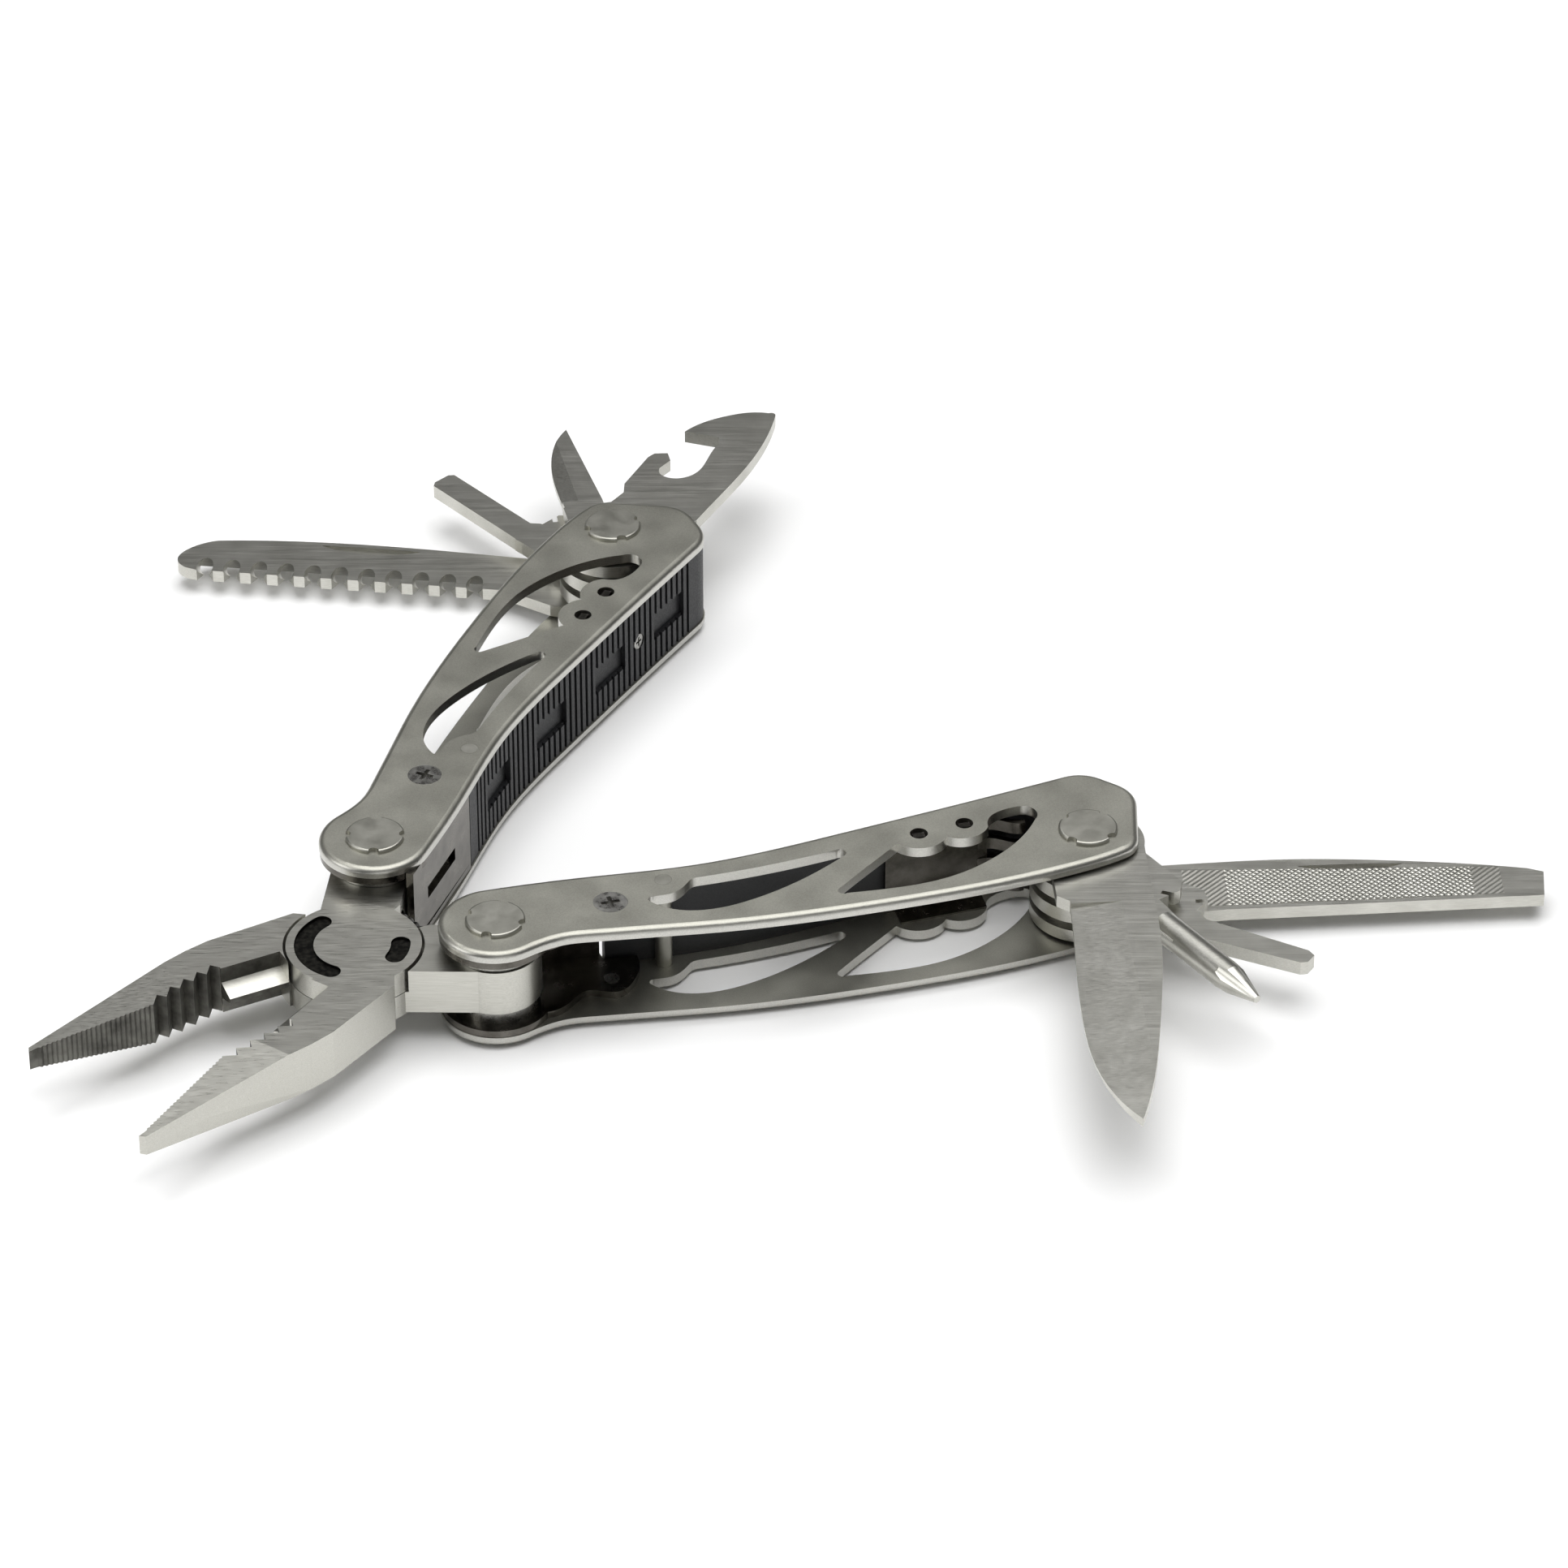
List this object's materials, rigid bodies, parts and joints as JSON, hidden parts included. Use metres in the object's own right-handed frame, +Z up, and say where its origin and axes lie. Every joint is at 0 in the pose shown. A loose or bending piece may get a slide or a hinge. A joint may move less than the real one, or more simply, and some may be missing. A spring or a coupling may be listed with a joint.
{
  "type": "folding multi tool",
  "caption": "Spring-loaded folding pliers whose two channel handles each carry fold-out blades, drivers, a saw, a file and a can opener.",
  "frame": {"origin": "centre of the footprint's bounding box, on the resting plane at the underside of the pivot caps", "axes": "+X across the opened tool from the plier jaws' side to the right handle's tools, +Y from the jaws to the left handle's tools, +Z up through the pivots, the tool lying flat"},
  "size_m": [0.21, 0.175, 0.017],
  "materials": {
    "handle_steel": "bead blasted, satin, edges polished",
    "forged_steel": "satin ground",
    "blade_steel": "fine cross satin",
    "pivot_steel": "polished",
    "spring_steel": "dark polished sheet",
    "screw_steel": "bright",
    "spring_wire": "dark wire",
    "grip_polymer": "black, ribbed, matte"
  },
  "bodies": {
    "top_jaw": {"top_jaw": "forged_steel"},
    "jaw_pivot": {"jaw_pivot_pin": "pivot_steel", "return_spring": "spring_wire"},
    "under_jaw": {"under_jaw": "forged_steel"},
    "left_handle": {"left_top_plate": "handle_steel", "left_bottom_plate": "handle_steel", "left_grip_insert": "grip_polymer", "left_grip_screw": "screw_steel", "left_liner_bracket": "spring_steel", "left_spring_bracket": "spring_steel", "left_tang_barrel": "pivot_steel", "left_tang_caps": "pivot_steel", "left_tool_barrel": "pivot_steel", "left_tool_caps": "pivot_steel", "left_tang_washers": "pivot_steel", "left_assembly_screws": "screw_steel", "left_cross_pin": "pivot_steel", "left_tool_washers": "pivot_steel"},
    "right_handle": {"right_top_plate": "handle_steel", "right_bottom_plate": "handle_steel", "right_grip_insert": "grip_polymer", "right_grip_screw": "screw_steel", "right_liner_bracket": "spring_steel", "right_spring_bracket": "spring_steel", "right_tang_barrel": "pivot_steel", "right_tang_caps": "pivot_steel", "right_tool_barrel": "pivot_steel", "right_tool_caps": "pivot_steel", "right_tang_washers": "pivot_steel", "right_assembly_screws": "screw_steel", "right_cross_pin": "pivot_steel", "right_tool_washers": "pivot_steel"},
    "saw_washer": {"saw_washer": "pivot_steel"},
    "screwdriver_washer": {"screwdriver_washer": "pivot_steel"},
    "knife_washer": {"knife_washer": "pivot_steel"},
    "phillips_washer": {"phillips_washer": "pivot_steel"},
    "small_driver_washer": {"small_driver_washer": "pivot_steel"},
    "can_opener": {"can_opener": "blade_steel"},
    "small_blade": {"small_blade": "blade_steel"},
    "large_screwdriver": {"large_screwdriver": "blade_steel"},
    "saw_blade": {"saw_blade": "blade_steel"},
    "knife_blade": {"knife_blade": "blade_steel"},
    "phillips_driver": {"phillips_driver": "blade_steel"},
    "small_screwdriver": {"small_screwdriver": "blade_steel"},
    "file_blade": {"file_blade": "blade_steel"}
  },
  "joints": [
    {"name": "left_handle_fold", "type": "hinge", "parent": "top_jaw", "child": "left_handle", "pos_m": [-0.05962, -0.02631, 0.0085], "axis": [0, 0, 1], "range_deg": [0, 166.75]},
    {"name": "jaw_close", "type": "hinge", "parent": "jaw_pivot", "child": "top_jaw", "pos_m": [-0.06178, -0.04579, 0.0085], "axis": [0, 0, -1], "range_deg": [0, 29.3]},
    {"name": "plier_squeeze", "type": "hinge", "parent": "jaw_pivot", "child": "under_jaw", "pos_m": [-0.06178, -0.04579, 0.0085], "axis": [0, 0, -1], "range_deg": [-29.3, 0], "stiffness_Nm_per_rad": 0.12, "springref_deg": 5, "deforming": ["return_spring"]},
    {"name": "right_handle_fold", "type": "hinge", "parent": "under_jaw", "child": "right_handle", "pos_m": [-0.04219, -0.04608, 0.0085], "axis": [0, 0, -1], "range_deg": [0, 166.75]},
    {"name": "saw_stow", "type": "hinge", "parent": "left_handle", "child": "saw_washer", "pos_m": [-0.02791, 0.05256, 0.0085], "axis": [0, 0, 1], "range_deg": [0, 73.9]},
    {"name": "saw_open", "type": "hinge", "parent": "saw_washer", "child": "saw_blade", "pos_m": [-0.02791, 0.05256, 0.0085], "axis": [0, 0, 1], "range_deg": [-105.1, 0]},
    {"name": "large_screwdriver_stow", "type": "hinge", "parent": "left_handle", "child": "screwdriver_washer", "pos_m": [-0.02791, 0.05256, 0.0085], "axis": [0, 0, 1], "range_deg": [0, 111.3]},
    {"name": "large_screwdriver_open", "type": "hinge", "parent": "screwdriver_washer", "child": "large_screwdriver", "pos_m": [-0.02791, 0.05256, 0.0085], "axis": [0, 0, 1], "range_deg": [-67.2, 0]},
    {"name": "knife_stow", "type": "hinge", "parent": "right_handle", "child": "knife_washer", "pos_m": [0.04003, -0.02451, 0.0085], "axis": [0, 0, -1], "range_deg": [0, 79.1]},
    {"name": "knife_open", "type": "hinge", "parent": "knife_washer", "child": "knife_blade", "pos_m": [0.04003, -0.02451, 0.0085], "axis": [0, 0, -1], "range_deg": [-99.9, 0]},
    {"name": "phillips_stow", "type": "hinge", "parent": "right_handle", "child": "phillips_washer", "pos_m": [0.04003, -0.02451, 0.0085], "axis": [0, 0, -1], "range_deg": [0, 109.7]},
    {"name": "phillips_open", "type": "hinge", "parent": "phillips_washer", "child": "phillips_driver", "pos_m": [0.04003, -0.02451, 0.0085], "axis": [0, 0, -1], "range_deg": [-69.3, 0]},
    {"name": "small_screwdriver_stow", "type": "hinge", "parent": "right_handle", "child": "small_driver_washer", "pos_m": [0.04003, -0.02451, 0.0085], "axis": [0, 0, -1], "range_deg": [0, 131.7]},
    {"name": "small_screwdriver_open", "type": "hinge", "parent": "small_driver_washer", "child": "small_screwdriver", "pos_m": [0.04003, -0.02451, 0.0085], "axis": [0, 0, -1], "range_deg": [-46.8, 0]},
    {"name": "file_open", "type": "hinge", "parent": "right_handle", "child": "file_blade", "pos_m": [0.04003, -0.02451, 0.0085], "axis": [0, 0, 1], "range_deg": [-165.8, 12.2]},
    {"name": "small_blade_open", "type": "hinge", "parent": "left_handle", "child": "small_blade", "pos_m": [-0.02791, 0.05256, 0.0085], "axis": [0, 0, -1], "range_deg": [-143.6, 34.9]},
    {"name": "can_opener_open", "type": "hinge", "parent": "left_handle", "child": "can_opener", "pos_m": [-0.02791, 0.05256, 0.0085], "axis": [0, 0, -1], "range_deg": [-188, 0]}
  ],
  "couplings": [
    {"joint": "jaw_close", "follows": "left_handle_fold", "ratio": 0.17571},
    {"joint": "right_handle_fold", "follows": "left_handle_fold", "ratio": 1},
    {"joint": "saw_stow", "follows": "left_handle_fold", "ratio": 0.44318},
    {"joint": "large_screwdriver_stow", "follows": "left_handle_fold", "ratio": 0.66747},
    {"joint": "knife_stow", "follows": "left_handle_fold", "ratio": 0.47436},
    {"joint": "phillips_stow", "follows": "left_handle_fold", "ratio": 0.65787},
    {"joint": "small_screwdriver_stow", "follows": "left_handle_fold", "ratio": 0.7898}
  ]
}
